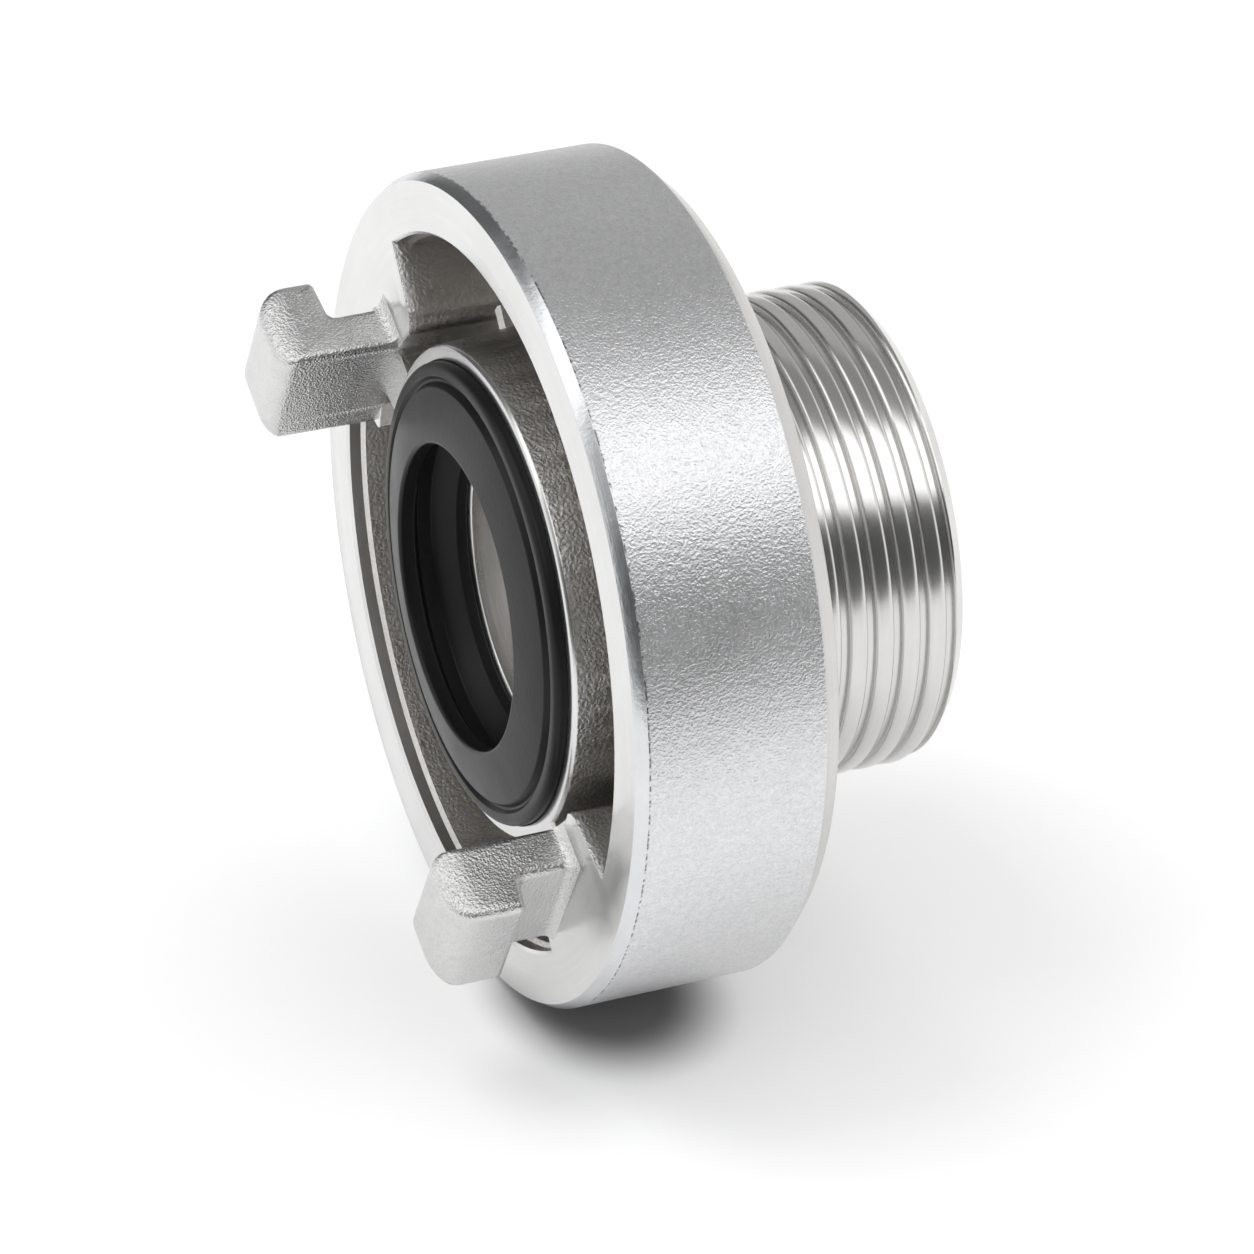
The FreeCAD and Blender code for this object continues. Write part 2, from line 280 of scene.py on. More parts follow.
@dataclass(frozen=True)
class Blasted(Surface):
    """Satin skin of the ring: fine orange peel over soft clusters.

    Attributes:
        edge: Height of the front edge in millimetres.
        edge_width: Reach of the speckles to either side of that edge.
    """

    edge: float = 49.62
    edge_width: float = 0.22

    def pattern(self, graph: Graph, place: Wire) -> tuple[Wire, Wire]:
        """Darker pits under lighter grains in clusters, with a speckled line along the front edge.

        Args:
            graph: The material's graph.
            place: Place on the surface.

        Returns:
            Height and colour.
        """
        height = graph.noise(place, GRAIN, 2.0) * 0.6 + graph.noise(place, PEEL, 3.0, 0.6) * 0.4
        share = ((height - 0.5) * 2.2 + 0.62).clamped()
        base = graph.mix(share, scaled_shade(self.colour, 0.80), scaled_shade(self.colour, 1.10))
        _, _, rise = graph.split(place)
        rim = (1.0 - (rise - self.edge * MM).maths("ABSOLUTE") / (self.edge_width * MM)).clamped()
        dots = ((graph.noise(place, SPECKLES, 2.0) - 0.47) * 9.0).clamped()
        return height, graph.mix(rim * dots, base, rgb(SPECKLE_SHADE))


@dataclass(frozen=True)
class Turned(Surface):
    """Machined surface with tool marks.

    Attributes:
        along_axis: Marks follow each other along the axis, as in a bore, or else along the radius.
        scratches: Weight of the coarse scratches across the marks.
        swirl: How far the pattern moves along a mark, in metres per radian.
    """

    along_axis: bool = False
    scratches: float = 0.0
    swirl: float = 0.00035

    def pattern(self, graph: Graph, place: Wire) -> tuple[Wire, Wire]:
        """Rings cut by the tool, with some scratches, under faint smears.

        Args:
            graph: The material's graph.
            place: Place on the surface.

        Returns:
            Height and colour.
        """
        x, y, z = graph.split(place)
        run = z if self.along_axis else (x * x + y * y).maths("SQRT")
        marks = graph.add("ShaderNodeCombineXYZ", {0: run, 1: y.maths("ARCTAN2", x) * self.swirl})
        height = graph.noise(marks, FINE_MARKS, 3.0, 0.7) * 0.55 + graph.noise(marks, BROAD_MARKS, 2.0) * 0.45
        if self.scratches:
            across = graph.noise(graph.scaled(place, (1.0, 0.35, 1.6)), SCRATCHES, 4.0, 0.75)
            height = height * (1.0 - self.scratches) + across * self.scratches
        smears = graph.noise(graph.scaled(place, (1.0, 0.6, 1.0)), SMEARS, 6.0, 0.7)
        share = ((smears - 0.5) * 1.5 + (height - 0.5) * 1.3 + 0.6).clamped()
        return height, graph.mix(share, scaled_shade(self.colour, 0.90), scaled_shade(self.colour, 1.05))


@dataclass(frozen=True)
class Rough(Surface):
    """Cast or forged skin with dimples.

    Attributes:
        cell: Width of a dimple in millimetres.
        dark: Share of the base colour that remains in the pits.
        veins: Share of the colour that fine creases take away.
        bend: How far the dimples are bent out of line, in metres.
    """

    cell: float = 1.0
    dark: float = 0.7
    veins: float = 0.0
    bend: float = 0.0009

    def pattern(self, graph: Graph, place: Wire) -> tuple[Wire, Wire]:
        """Soft dimples under a finer grain, darker in the pits, with fine creases.

        Args:
            graph: The material's graph.
            place: Place on the surface.

        Returns:
            Height and colour.
        """
        waves = graph.add("ShaderNodeTexNoise", {"Vector": place, "Scale": BEND}, "Color")
        bent = graph.add("ShaderNodeVectorMath", {
            0: waves, 1: (self.bend,) * 3, 2: place}, operation="MULTIPLY_ADD")
        grain = graph.noise(place, 2800.0 / self.cell, 3.0, 0.6)
        height = graph.cells(bent, 1000.0 / self.cell) * 0.7 + grain * 0.3
        blotches = graph.noise(place, STAINS, 4.0)
        share = (height * 0.7 + blotches * 0.5).clamped()
        colour = graph.mix(share, scaled_shade(self.colour, self.dark), rgb(self.colour))
        if self.veins:
            crease = (graph.noise(place, CREASES, 5.0, 0.62) - 0.5).maths("ABSOLUTE")
            vein = (1.0 - crease * 26.0).clamped() * self.veins
            colour = graph.mix(vein * blotches * 1.6, colour, rgb(CREASE_SHADE))
        return height, colour


FINISHES: dict[Finish, Surface] = {
    Finish.BLASTED: Blasted("blasted_aluminium", (0.75, 0.752, 0.762), 1.0, 0.38, 0.10, 0.16),
    Finish.FACED: Turned("faced_aluminium", (0.725, 0.722, 0.718), 1.0, 0.24, 0.12, 0.010),
    Finish.BEVEL: Turned("turned_bevel", (0.71, 0.722, 0.738), 1.0, 0.24, 0.26, 0.06, scratches=0.6),
    Finish.CAST: Rough("cast_aluminium", (0.71, 0.695, 0.67), 1.0, 0.30, 0.36, 0.075, cell=0.46, dark=0.74),
    Finish.FORGED: Rough("forged_aluminium", (0.76, 0.76, 0.755), 1.0, 0.23, 0.15, 0.10,
                         cell=0.28, dark=0.72, veins=0.03),
    Finish.THREAD: Turned("cut_thread", (0.70, 0.692, 0.68), 1.0, 0.22, 0.1, 0.012, along_axis=True),
    Finish.BORE: Turned("turned_bore", (0.60, 0.59, 0.575), 1.0, 0.26, 0.12, 0.03, along_axis=True),
}
RUBBER = Surface("moulded_rubber", (0.007, 0.007, 0.0075), 0.0, 0.38, 0.16, 0.02, specular=0.25)


def link(name: str, data: bpy.types.ID, materials: Iterable[bpy.types.Material] = ()) -> bpy.types.Object:
    """Puts a mesh, a lamp or a camera into the scene as an object.

    Args:
        name: Object name.
        data: The mesh, lamp or camera.
        materials: A mesh's materials in the order of its slots.

    Returns:
        The object.
    """
    for material in materials:
        data.materials.append(material)
    made = bpy.data.objects.new(name, data)
    bpy.context.scene.collection.objects.link(made)
    return made


def mend(mesh: bpy.types.Mesh, weld: bool = True) -> None:
    """Turns all faces of a mesh outwards.

    Args:
        mesh: The mesh.
        weld: Whether corners that meet become one first.
    """
    work = bmesh.new()
    work.from_mesh(mesh)
    if weld:
        bmesh.ops.remove_doubles(work, verts=work.verts, dist=WELD)
    bmesh.ops.recalc_face_normals(work, faces=work.faces)
    work.to_mesh(mesh)
    work.free()


def mesh_of(name: str, points: Sequence[Sequence[float]], faces: Sequence[Sequence[int]],
            finishes: Sequence[int]) -> bpy.types.Mesh:
    """Makes a closed mesh with outward faces.

    Args:
        name: Mesh name.
        points: Corners in millimetres.
        faces: Corner numbers of each face.
        finishes: Material number of each face.

    Returns:
        The mesh, in metres.
    """
    mesh = bpy.data.meshes.new(name)
    mesh.from_pydata([tuple(value * MM for value in point) for point in points], [], faces)
    mesh.polygons.foreach_set("material_index", list(finishes))
    mend(mesh)
    return mesh


def polar(radius: float, angle: float) -> Point2:
    """Point at a radius and an angle in radians."""
    return radius * math.cos(angle), radius * math.sin(angle)


def fillet(centre: Sequence[float], start: Sequence[float], finish: Sequence[float],
           steps: int) -> list[Point2]:
    """Points on the shorter arc between two points on a circle, both ends included.

    Args:
        centre: Middle of the circle.
        start: First point.
        finish: Last point.
        steps: Pieces in the arc.

    Returns:
        The arc's points.
    """
    middle = Vector(centre)
    first, last = Vector(start) - middle, Vector(finish) - middle
    sweep = math.atan2(first.x * last.y - first.y * last.x, first.dot(last))
    return [tuple(middle + Matrix.Rotation(sweep * step / steps, 2) @ first) for step in range(steps + 1)]


def rounded(corners: Sequence[Corner], steps: int = 4) -> list[tuple[Point2, int]]:
    """Rounds the corners of a closed outline.

    Args:
        corners: Two coordinates and a corner radius each.
        steps: Pieces in each rounded corner.

    Returns:
        Points, each with the number of the corner whose side starts there.
    """
    result: list[tuple[Point2, int]] = []
    count = len(corners)
    for number, (x, y, radius) in enumerate(corners):
        here = Vector((x, y))
        if radius <= 0.0:
            result.append(((x, y), number))
            continue
        back = Vector(corners[number - 1][:2]) - here
        ahead = Vector(corners[(number + 1) % count][:2]) - here
        half = back.angle(ahead) / 2.0
        reach = radius / math.tan(half)
        centre = here + (back.normalized() + ahead.normalized()).normalized() * (radius / math.sin(half))
        arc = fillet(centre, here + back.normalized() * reach, here + ahead.normalized() * reach, steps)
        for step, point in enumerate(arc):
            owner = number if step * 2 >= steps else (number - 1) % count
            result.append((point, owner))
    return result


def lathe(name: str, section: Sequence[Side], segments: int, steps: int = 2) -> bpy.types.Mesh:
    """Turns a closed section about the axis.

    Args:
        name: Mesh name.
        section: Radius, height, corner radius and the finish of the side that starts there.
        segments: Pieces round the axis.
        steps: Pieces in each rounded corner.

    Returns:
        A closed mesh.
    """
    outline = rounded([corner[:3] for corner in section], steps)
    count = len(outline)
    points = [(*polar(radius, TURN * column / segments), height)
              for column in range(segments) for (radius, height), _ in outline]
    faces = []
    for column in range(segments):
        here, beside = column * count, (column + 1) % segments * count
        for row in range(count):
            after = (row + 1) % count
            faces.append((here + row, beside + row, beside + after, here + after))
    return mesh_of(name, points, faces, [section[owner][3].value for _, owner in outline] * segments)


def stacked_faces(levels: int, count: int) -> list[tuple[int, ...]]:
    """Faces of a closed stack: lower end, the bands from the lowest, upper end.

    Args:
        levels: Number of outlines.
        count: Points in each outline.

    Returns:
        Corner numbers of each face.
    """
    faces: list[tuple[int, ...]] = [tuple(range(count))]
    for low in range(0, (levels - 1) * count, count):
        for place in range(count):
            after, high = (place + 1) % count, low + count
            faces.append((low + place, low + after, high + after, high + place))
    faces.append(tuple(range((levels - 1) * count, levels * count)))
    return faces


def stack(name: str, levels: Sequence[tuple[float, Sequence[Point2]]], finish: Callable[[int, int], Finish],
          top: Finish) -> bpy.types.Mesh:
    """Closes a stack of plan outlines that have as many points each.

    Args:
        name: Mesh name.
        levels: Height and outline of each level, from the lowest.
        finish: Finish of the band above a level, for the side that starts at a point's number.
        top: Finish of the two end faces.

    Returns:
        A closed mesh.
    """
    count = len(levels[0][1])
    points = [(x, y, height) for height, outline in levels for x, y in outline]
    sides = [finish(level, place).value for level in range(len(levels) - 1) for place in range(count)]
    return mesh_of(name, points, stacked_faces(len(levels), count), [top.value] + sides + [top.value])


def combine(base: bpy.types.Object, mesh: bpy.types.Mesh, how: Boolean) -> None:
    """Cuts or joins an object with a closed mesh that takes over its materials.

    Args:
        base: The object that is changed.
        mesh: The other mesh, in metres.
        how: Cut or join.
    """
    tool = link(mesh.name, mesh, base.data.materials)
    step = base.modifiers.new("step", "BOOLEAN")
    step.operation = how.value
    step.solver = "EXACT"
    step.object = tool
    bake(base)
    bpy.data.objects.remove(tool)
    bpy.data.meshes.remove(mesh)


def bake(made: bpy.types.Object) -> None:
    """Turns an object's modifiers into plain mesh data.

    Args:
        made: The object.
    """
    shape = bpy.data.meshes.new_from_object(made.evaluated_get(bpy.context.evaluated_depsgraph_get()))
    made.modifiers.clear()
    old = made.data
    made.data = shape
    bpy.data.meshes.remove(old)


def smooth(mesh: bpy.types.Mesh, degrees: float) -> None:
    """Shades a mesh smooth, with edges above an angle left sharp."""
    mesh.polygons.foreach_set("use_smooth", [True] * len(mesh.polygons))
    mesh.set_sharp_from_angle(angle=math.radians(degrees))


@dataclass
class Shell:
    """Everything that is turned, with the slots between the lips.

    Attributes are in millimetres and degrees; heights are from the thread's end face.
    """

    face: float = 51.1
    ring_radius: float = 50.75
    rear: float = 25.0
    front_bevel: Point2 = (0.85, 1.4)
    rear_bevel: float = 2.65
    hub_radius: float = 30.1
    hub_floor_radius: float = 31.2
    hub_top: float = 50.5
    hub_bevel: Point2 = (0.3, 0.5)
    seat_radius: float = 28.3
    seat: float = 44.7
    bore_radius: float = 19.0
    bore_bevel: float = 0.8
    throat: float = 35.1
    taper: float = 6.0
    spigot_bore: float = 23.0
    spigot_bevel: float = 1.0
    relief_radius: float = 28.2
    relief: float = 23.2
    core_radius: float = 27.0
    floor: float = 32.1
    lip_inner: float = 32.7
    cavity_radius: float = 42.3
    recess_radius: float = 43.5
    recess_depth: float = 1.8
    ledge: float = 0.5
    near_angle: float = 15.0
    far_angle: float = 17.5
    heel_angle: float = 25.5
    lip_corner: float = 2.5
    heel_corner: float = 0.4
    mouth: float = 0.35
    flare: float = 0.7
    overrun: float = 1.5
    arc_steps: int = 48
    hub_steps: int = 24
    corner_steps: int = 6
    segments: int = 192

    def section(self) -> list[Side]:
        """Closed section of the turned casting.

        Returns:
            The section's corners.
        """
        return [
            (self.bore_radius + self.bore_bevel, self.seat, 0.0, Finish.FACED),
            (self.seat_radius, self.seat, 0.0, Finish.FACED),
            (self.seat_radius, self.hub_top, 0.12, Finish.FACED),
            (self.hub_radius - self.hub_bevel[0], self.hub_top, 0.3, Finish.FACED),
            (self.hub_radius, self.hub_top - self.hub_bevel[1], 0.6, Finish.CAST),
            (self.hub_floor_radius, self.floor, 0.6, Finish.CAST),
            (self.lip_inner, self.floor, 0.6, Finish.CAST),
            (self.lip_inner, self.face, 0.3, Finish.FACED),
            (self.ring_radius - self.front_bevel[0], self.face, 0.08, Finish.BEVEL),
            (self.ring_radius, self.face - self.front_bevel[1], 0.12, Finish.BLASTED),
            (self.ring_radius, self.rear + self.rear_bevel, 0.5, Finish.BORE),
            (self.ring_radius - self.rear_bevel, self.rear, 0.4, Finish.BLASTED),
            (self.relief_radius, self.rear, 0.3, Finish.THREAD),
            (self.relief_radius, self.relief, 0.0, Finish.THREAD),
            (self.core_radius, self.relief, 0.0, Finish.THREAD),
            (self.core_radius, 0.0, 0.0, Finish.FACED),
            (self.spigot_bore + self.spigot_bevel, 0.0, 0.1, Finish.FACED),
            (self.spigot_bore, self.spigot_bevel, 0.1, Finish.BORE),
            (self.spigot_bore, self.throat - self.taper, 0.4, Finish.BORE),
            (self.bore_radius, self.throat, 0.4, Finish.BORE),
            (self.bore_radius, self.seat - self.bore_bevel, 0.1, Finish.FACED),
        ]

    def slot_outline(self, radius: float, half: float, corner: float) -> list[Point2]:
        """Plan of a slot about +X: outer arc, end walls and the rounded lip corners.

        Args:
            radius: Radius of the outer wall.
            half: Half the angle between the end walls in degrees.
            corner: Radius of the lips' inner corners.

        Returns:
            The outline's points, with the outer arc first.
        """
        reach, steps, back = math.radians(half), self.arc_steps, self.hub_steps
        inner = self.lip_inner - self.overrun
        path = self.lip_inner + corner
        swing = math.asin(corner / path)
        right = [polar(radius, reach * (2.0 * step / steps - 1.0)) for step in range(steps + 1)]
        wall = math.sqrt(path * path - corner * corner)
        bend = fillet(polar(path, reach + swing), polar(wall, reach),
                      polar(self.lip_inner, reach + swing), self.corner_steps)
        close = [polar(inner, (reach + swing) * (1.0 - 2.0 * step / back)) for step in range(back + 1)]
        return right + bend + close + [(x, -y) for x, y in reversed(bend)]

    def slot(self, middle: float, half: float, corner: float) -> bpy.types.Mesh:
        """Cutter of one slot with its drafted wall and turned recess.

        Args:
            middle: Direction of the slot's middle in degrees.
            half: Half the angle between the end walls in degrees.
            corner: Radius of the lips' inner corners.

        Returns:
            The cutter's mesh.
        """
        heights = [
            (self.floor, self.cavity_radius),
            (self.face - self.recess_depth - self.ledge, self.recess_radius - self.ledge),
            (self.face - self.recess_depth, self.recess_radius),
            (self.face - self.mouth, self.recess_radius),
            (self.face + self.overrun, self.recess_radius + self.mouth + self.overrun),
        ]
        flare = math.degrees(self.flare / self.recess_radius)
        halves = [half] * (len(heights) - 1) + [half + flare]
        turned = Matrix.Rotation(math.radians(middle), 2)
        levels = []
        for (height, radius), reach in zip(heights, halves):
            outline = self.slot_outline(radius, reach, corner)
            levels.append((height, [tuple(turned @ Vector(point)) for point in outline]))

        def finish(level: int, place: int) -> Finish:
            """Turned recess on the outer wall, cast skin below and on the ends, broken edges on top.

            Args:
                level: Number of the level under the band.
                place: Number of the point where the side starts.

            Returns:
                The finish.
            """
            if place < self.arc_steps:
                return Finish.FACED if level > 1 else Finish.CAST
            return Finish.FORGED if level == len(heights) - 2 else Finish.CAST

        return stack("slot", levels, finish, Finish.CAST)

    def build(self, materials: Sequence[bpy.types.Material]) -> bpy.types.Object:
        """Turns the casting and cuts both slots.

        Args:
            materials: Materials in the order of Finish.

        Returns:
            The shell's object.
        """
        shell = link("coupling_shell", lathe("coupling_shell", self.section(), self.segments), materials)
        swing = (self.heel_angle - self.far_angle) / 2.0
        reach = 90.0 - (self.heel_angle + self.far_angle) / 2.0
        near = (-90.0, 90.0 - self.near_angle, self.lip_corner)
        far = (90.0 + swing, reach, self.heel_corner)
        for middle, half, corner in (near, far):
            combine(shell, self.slot(middle, half, corner), Boolean.CUT)
        return shell


@dataclass
class Bridge:
    """Web between the hub and a lip: a wide foot and a narrower head with a turned top."""

    inner: float = 28.9
    outer: float = 33.9
    low: float = 30.9
    foot: Point2 = (-15.0, 17.5)
    foot_top: float = 40.1
    head: Point2 = (1.5, 16.5)
    head_top: float = 50.46
    foot_edge: float = 0.6
    head_edge: float = 0.35
    arc_steps: int = 12

    def block(self, span: Point2, top: float, finish: Finish, edge: float, side: float) -> bpy.types.Mesh:
        """One curved block.

        Args:
            span: First and last direction in degrees.
            top: Height of its upper face.
            finish: Finish of the upper face.
            edge: Width of the bevel round the top.
            side: 1 for the lip on +X, -1 for the other.

        Returns:
            The block's mesh.
        """
        levels = []
        for height, inset in ((self.low, 0.0), (top - edge, 0.0), (top, edge)):
            first = math.radians(span[0]) + inset / self.outer
            last = math.radians(span[1]) - inset / self.outer
            arc = [first + (last - first) * step / self.arc_steps for step in range(self.arc_steps + 1)]
            points = [polar(self.outer, angle) for angle in arc]
            points += [polar(self.inner, angle) for angle in reversed(arc)]
            levels.append((height, [(side * x, y) for x, y in points]))
        return stack("bridge", levels, lambda level, place: Finish.CAST, finish)

    def join(self, shell: bpy.types.Object) -> None:
        """Adds foot and head on both sides to the shell.

        Args:
            shell: The shell's object.
        """
        foot = (self.foot, self.foot_top, Finish.CAST, self.foot_edge)
        head = (self.head, self.head_top, Finish.FACED, self.head_edge)
        for side in (1.0, -1.0):
            for span, top, finish, edge in (foot, head):
                combine(shell, self.block(span, top, finish, edge, side), Boolean.JOIN)


@dataclass
class Claw:
    """Forged claw that hooks behind the other half's ring.

    Attributes are in millimetres and degrees; shift moves the claw along its own width.
    """

    side: float
    shift: float
    turn: float = 8.0
    half_width: float = 8.5
    inner: float = 32.2
    outer: float = 37.9
    tip: float = 42.0
    face: float = 51.1
    height: float = 16.6
    hook: float = 7.0
    rise: float = 0.5
    sink: float = 1.0
    side_radius: float = 1.1
    root: float = 1.5
    near_corner: float = 2.4
    far_corner: float = 4.4
    corner_height: float = 3.8
    corner_power: float = 1.4
    blend: float = 1.6
    hook_radius: float = 1.0
    tip_radius: float = 0.9
    nose_radius: float = 4.0
    inner_radius: float = 2.2
    overlap: float = 0.3
    side_steps: int = 5
    corner_steps: int = 6
    profile_steps: int = 10

    def profile(self) -> list[Point2]:
        """Outline of stem, hook and nose, as distance from the axis and height.

        Returns:
            The outline's points.
        """
        top, hook = self.face + self.height, self.face + self.hook
        corners = [
            (self.inner, self.face - self.sink, 0.0),
            (self.outer, self.face - self.sink, 0.0),
            (self.outer, hook, self.hook_radius),
            (self.tip, hook + self.rise, self.tip_radius),
            (self.tip, top, self.nose_radius),
            (self.inner, top, self.inner_radius),
        ]
        return [point for point, _ in rounded(corners, self.profile_steps)]

    def inset(self, outline: Sequence[Point2], depth: float) -> list[Point2]:
        """Moves an outline inwards along its corners' bisectors.

        Args:
            outline: The outline's points.
            depth: How far they move.

        Returns:
            The moved points.
        """
        count = len(outline)
        moved = []
        for number, point in enumerate(outline):
            back = Vector(point) - Vector(outline[number - 1])
            ahead = Vector(outline[(number + 1) % count]) - Vector(point)
            inward = Vector((-back.y, back.x)).normalized() + Vector((-ahead.y, ahead.x)).normalized()
            moved.append(tuple(Vector(point) + inward.normalized() * depth))
        return moved

    def place(self, distance: float, across: float, height: float) -> Corner:
        """A point of the claw in the coupling's frame.

        Args:
            distance: Distance from the axis along the claw's profile.
            across: Place along the claw's width.
            height: Height over the thread's end face.

        Returns:
            The point.
        """
        angle = math.radians(self.turn)
        out, along = self.side * distance, self.shift + across
        return (out * math.cos(angle) - along * math.sin(angle),
                out * math.sin(angle) + along * math.cos(angle), height)

    def layers(self) -> list[Corner]:
        """Places along the width, with the depth of the rounded side and the nose's height there.

        Returns:
            The three values of each layer.
        """
        offsets = [self.side_radius * (1.0 - math.cos(math.pi / 2.0 * step / self.side_steps))
                   for step in range(self.side_steps + 1)]
        result = []
        for way, corner in ((-1.0, self.near_corner), (1.0, self.far_corner)):
            steps = offsets + [offsets[-1] + (corner - offsets[-1]) * step / self.corner_steps
                               for step in range(1, self.corner_steps + 1)]
            half = []
            for inward in steps:
                side = max(0.0, 1.0 - inward / self.side_radius)
                depth = self.side_radius * (1.0 - math.sqrt(1.0 - side * side))
                share = (1.0 - (1.0 - inward / corner) ** self.corner_power) ** (1.0 / self.corner_power)
                drop = (1.0 - share) * (self.corner_height + self.blend)
                half.append((way * (self.half_width - inward), depth,
                             self.face + self.height + self.blend - drop))
            result += half if way < 0.0 else half[::-1]
        return result

    def lowered(self, height: float, limit: float) -> float:
        """The lower of two heights, blended where they are close."""
        near = max(self.blend - abs(height - limit), 0.0) / self.blend
        return min(height, limit) - near * near * self.blend / 4.0

    def blade(self) -> bpy.types.Mesh:
        """The claw with its rounded sides and the nose's worn corners.

        Returns:
            A closed mesh.
        """
        outline, layers = self.profile(), self.layers()
        points = [self.place(distance, across, self.lowered(height, limit))
                  for across, depth, limit in layers for distance, height in self.inset(outline, depth)]
        faces = stacked_faces(len(layers), len(outline))
        return mesh_of("claw", points, faces, [Finish.FORGED.value] * len(faces))

    def foot(self) -> bpy.types.Mesh:
        """Hollow flare where the stem meets the ring's face.

        Returns:
            A closed mesh.
        """
        levels = []
        first, last = self.inner + self.overlap, self.half_width - self.side_radius
        for step in range(self.side_steps + 1):
            rise = self.root * step / self.side_steps
            spread = self.root - math.sqrt(self.root ** 2 - (self.root - rise) ** 2)
            outer, near = self.outer + spread, -self.half_width - spread
            plan = ((first, near), (outer, near), (outer, last), (first, last))
            below = self.overlap if step == 0 else 0.0
            levels.append((self.face + rise - below, [self.place(x, y, 0.0)[:2] for x, y in plan]))
        return stack("claw_foot", levels, lambda level, place: Finish.FORGED, Finish.FORGED)

    def join(self, shell: bpy.types.Object) -> None:
        """Adds the claw to the shell.

        Args:
            shell: The shell's object.
        """
        for mesh in (self.blade(), self.foot()):
            combine(shell, mesh, Boolean.JOIN)


@dataclass
class PipeThread:
    """Right-hand outside thread, cut from the end bevel to the relief."""

    crest_radius: float = 29.8
    core_radius: float = 27.0
    relief_radius: float = 28.2
    length: float = 23.2
    pitch: float = 3.4
    depth: float = 0.6
    crest_gap: float = 1.15
    root_gap: float = 0.8
    crown: float = 0.3
    bevel: float = 1.5
    segments: int = 192
    rows_per_turn: int = 34
    weld: float = 1e-6

    def tree(self, material: bpy.types.Material) -> tuple[bpy.types.NodeTree, dict[str, object]]:
        """Builds the node tree that rolls a grid into the threaded sleeve.

        Args:
            material: Finish of the sleeve.

        Returns:
            The tree, and the value of each of its inputs by socket identifier.
        """
        tree = bpy.data.node_groups.new("threaded_sleeve", "GeometryNodeTree")
        values: dict[str, object] = {}
        sizes = {"Crest radius": self.crest_radius, "Core radius": self.core_radius, "Length": self.length,
                 "Relief radius": self.relief_radius, "Pitch": self.pitch, "Depth": self.depth,
                 "Gap at crest": self.crest_gap, "Gap at root": self.root_gap, "Crown": self.crown,
                 "End bevel": self.bevel}
        for name, size in sizes.items():
            socket = tree.interface.new_socket(name, in_out="INPUT", socket_type="NodeSocketFloat")
            values[socket.identifier] = size * MM
        socket = tree.interface.new_socket("Finish", in_out="INPUT", socket_type="NodeSocketMaterial")
        values[socket.identifier] = material
        tree.interface.new_socket("Sleeve", in_out="OUTPUT", socket_type="NodeSocketGeometry")
        graph = Graph(tree)
        given = graph.add("NodeGroupInput").socket.node
        size_of = {name: Wire(graph, given.outputs[name]) for name in (*sizes, "Finish")}
        # the grid's rows climb with the thread, so its edges run along rows
        rows = math.ceil(self.rows_per_turn * (self.length / self.pitch + 1.0)) + 3
        grid = graph.add("GeometryNodeMeshGrid", {
            "Size X": TURN, "Size Y": float(rows),
            "Vertices X": self.segments + 1, "Vertices Y": rows + 1}, "Mesh")
        angle, row, _ = graph.split(graph.add("GeometryNodeInputPosition"))
        row = row + rows / 2.0
        last = row.maths("GREATER_THAN", rows - 0.5)
        inside = (row.maths("LESS_THAN", 0.5) + row.maths("GREATER_THAN", rows - 1.5)).clamped()
        climb = size_of["Pitch"] * ((row - 1.0) / self.rows_per_turn - 0.5 + angle / TURN)
        height = climb.maths("MAXIMUM", 0.0).maths("MINIMUM", size_of["Length"]) * (1.0 - last)
        radius = self.cut(height, angle, size_of)
        radius = radius * (1.0 - inside) + size_of["Core radius"] * inside
        placed = graph.add("ShaderNodeCombineXYZ", {
            0: radius * angle.maths("COSINE"), 1: radius * angle.maths("SINE"), 2: height})
        rolled = graph.add("GeometryNodeSetPosition", {"Geometry": grid, "Position": placed})
        closed = graph.add("GeometryNodeMergeByDistance", {"Geometry": rolled, "Distance": self.weld})
        plain = graph.add("GeometryNodeRealizeInstances", {"Geometry": closed})
        dressed = graph.add("GeometryNodeSetMaterial", {
            "Geometry": plain, "Material": size_of["Finish"]})
        graph.add("NodeGroupOutput", {0: dressed})
        return tree, values

    def cut(self, height: Wire, angle: Wire, size_of: dict[str, Wire]) -> Wire:
        """Radius of the cut thread.

        Args:
            height: Height over the end face.
            angle: Direction round the axis.
            size_of: The tree's inputs by name.

        Returns:
            The radius.
        """
        pitch = size_of["Pitch"]
        turns = height / pitch - angle / TURN
        offset = ((turns + 0.5).maths("FRACT") - 0.5).maths("ABSOLUTE") * pitch
        edge, root = size_of["Gap at crest"] * 0.5, size_of["Gap at root"] * 0.5
        flank = ((edge - offset) / (edge - root)).clamped()
        fall = 1.0 - ((offset - edge) / (pitch * 0.5 - edge)).clamped()
        crest = size_of["Crest radius"]
        radius = crest - size_of["Depth"] * flank - size_of["Crown"] * fall * fall * fall
        radius = radius.maths("MINIMUM", crest - size_of["End bevel"] + height)
        return radius.maths("MINIMUM", size_of["Relief radius"] + size_of["Length"] - height)

    def build(self, material: bpy.types.Material) -> bpy.types.Object:
        """Makes the sleeve.

        Args:
            material: Finish of the sleeve.

        Returns:
            Its object with plain mesh data.
        """
        sleeve = link("pipe_thread", bpy.data.meshes.new("pipe_thread"))
        tree, values = self.tree(material)
        step = sleeve.modifiers.new("thread", "NODES")
        step.node_group = tree
        for identifier, value in values.items():
            step[identifier] = value
        bake(sleeve)
        mend(sleeve.data, weld=False)
        return sleeve


